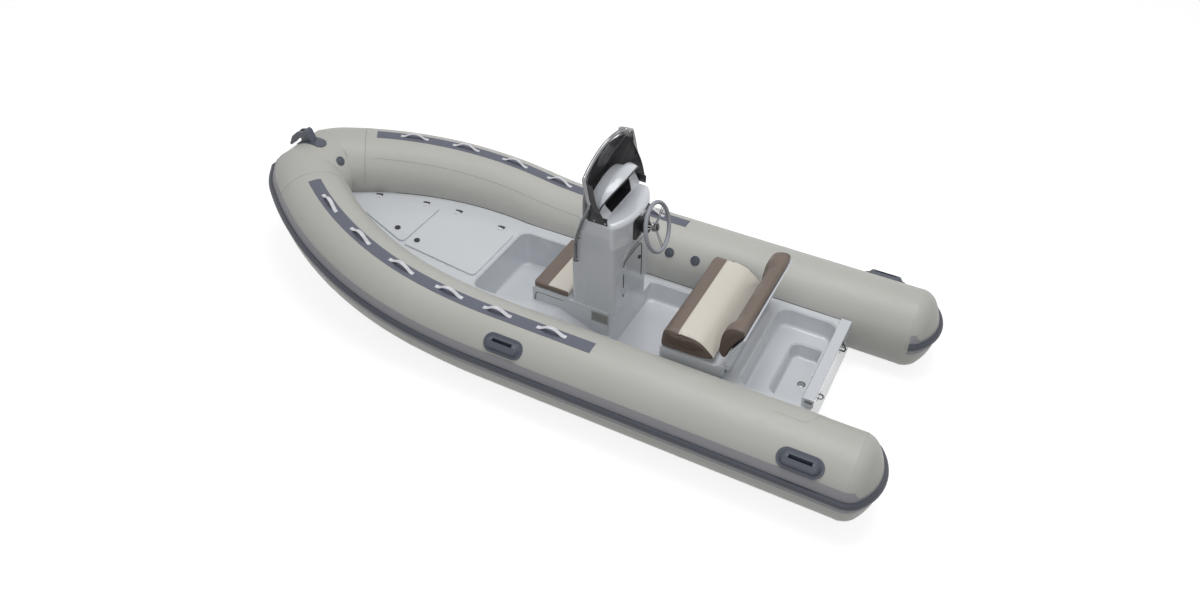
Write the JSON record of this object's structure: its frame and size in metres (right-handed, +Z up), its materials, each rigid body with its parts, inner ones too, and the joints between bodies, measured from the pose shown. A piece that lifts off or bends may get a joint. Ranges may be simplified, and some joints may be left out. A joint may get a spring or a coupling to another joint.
{
  "type": "rigid inflatable boat",
  "caption": "Rigid inflatable boat with a vee hull, a helm console with a raked windscreen, a helm seat with a tilting backrest and lockers under hinged lids.",
  "frame": {"origin": "on the centre line at the aft face of the transom, on the surface of the water", "axes": "+X to the bow, +Y to port, +Z up"},
  "size_m": [4.5773, 1.8918, 1.8054],
  "materials": {
    "tube_fabric": "matt coated fabric",
    "strake_rubber": "matt",
    "band_rubber": "matt",
    "grip_rubber": "moulded non-slip",
    "handle_rubber": "moulded",
    "webbing": "woven",
    "gelcoat": "gloss gelcoat",
    "upholstery": "coated upholstery",
    "smoked_acrylic": "polished",
    "stainless": "polished",
    "black_plastic": "satin",
    "wheel_grip": "satin"
  },
  "bodies": {
    "boat": {"bow_eye": "stainless", "bow_fairlead": "handle_rubber", "bow_lid_hinges": "stainless", "carry_handle_port_aft": "handle_rubber", "carry_handle_port_fwd": "handle_rubber", "carry_handle_starboard_aft": "handle_rubber", "carry_handle_starboard_fwd": "handle_rubber", "console_cowl": "gelcoat", "console_door_hinges": "stainless", "console_pedestal": "gelcoat", "cowl_lip": "black_plastic", "dash_tray": "black_plastic", "deck_aft": "gelcoat", "deck_bow": "gelcoat", "deck_cockpit": "gelcoat", "deck_foot_well": "gelcoat", "front_seat_hinge": "stainless", "gauge_panel": "black_plastic", "grab_straps_port": "webbing", "grab_straps_starboard": "webbing", "grip_patch_port": "grip_rubber", "grip_patch_starboard": "grip_rubber", "helm_seat_box": "gelcoat", "helm_seat_hinges": "stainless", "helm_shaft": "stainless", "hull": "gelcoat", "inflation_valves": "handle_rubber", "rub_band": "band_rubber", "rub_strake": "strake_rubber", "screen_base_plates": "stainless", "screen_rail": "stainless", "seat_box": "gelcoat", "stern_eyes": "stainless", "transom_cap": "gelcoat", "tube_nose": "tube_fabric", "tube_port_aft": "tube_fabric", "tube_port_fwd": "tube_fabric", "tube_starboard_aft": "tube_fabric", "tube_starboard_fwd": "tube_fabric", "windscreen": "smoked_acrylic"},
    "steering_wheel": {"steering_wheel": "wheel_grip"},
    "console_door": {"console_door": "gelcoat", "door_latch": "black_plastic"},
    "bow_lid_aft": {"bow_lid_aft": "gelcoat", "bow_latch_aft": "black_plastic"},
    "bow_lid_fwd": {"bow_lid_fwd": "gelcoat", "bow_latch_fwd": "black_plastic"},
    "front_seat": {"front_seat_lid": "gelcoat", "front_cushion": "upholstery"},
    "helm_seat": {"helm_seat_lid": "gelcoat", "helm_cushion": "upholstery"},
    "backrest": {"helm_backrest": "upholstery", "backrest_panel": "gelcoat"}
  },
  "joints": [
    {"name": "steering", "type": "hinge", "parent": "boat", "child": "steering_wheel", "pos_m": [1.169, 0, 0.946], "axis": [-0.9573, 0, 0.289], "range_deg": [-540, 540]},
    {"name": "door_swing", "type": "hinge", "parent": "boat", "child": "console_door", "pos_m": [1.312, 0.127, 0.569], "axis": [0, 0, -1], "range_deg": [0, 110]},
    {"name": "bow_lid_aft_swing", "type": "hinge", "parent": "boat", "child": "bow_lid_aft", "pos_m": [2.55023, -0.26442, 0.32503], "axis": [0.9963, 0.0329, 0.0797], "range_deg": [0, 95]},
    {"name": "bow_lid_fwd_swing", "type": "hinge", "parent": "boat", "child": "bow_lid_fwd", "pos_m": [3.13454, -0.18412, 0.37177], "axis": [0.9502, 0.3023, 0.076], "range_deg": [0, 85]},
    {"name": "front_seat_swing", "type": "hinge", "parent": "boat", "child": "front_seat", "pos_m": [1.901, 0, 0.3875], "axis": [0, 1, 0], "range_deg": [0, 90]},
    {"name": "helm_seat_swing", "type": "hinge", "parent": "boat", "child": "helm_seat", "pos_m": [0.53, 0, 0.405], "axis": [0, -1, 0], "range_deg": [0, 60]},
    {"name": "backrest_tilt", "type": "hinge", "parent": "helm_seat", "child": "backrest", "pos_m": [0.508, 0, 0.43], "axis": [0, 1, 0], "range_deg": [0, 12]}
  ]
}
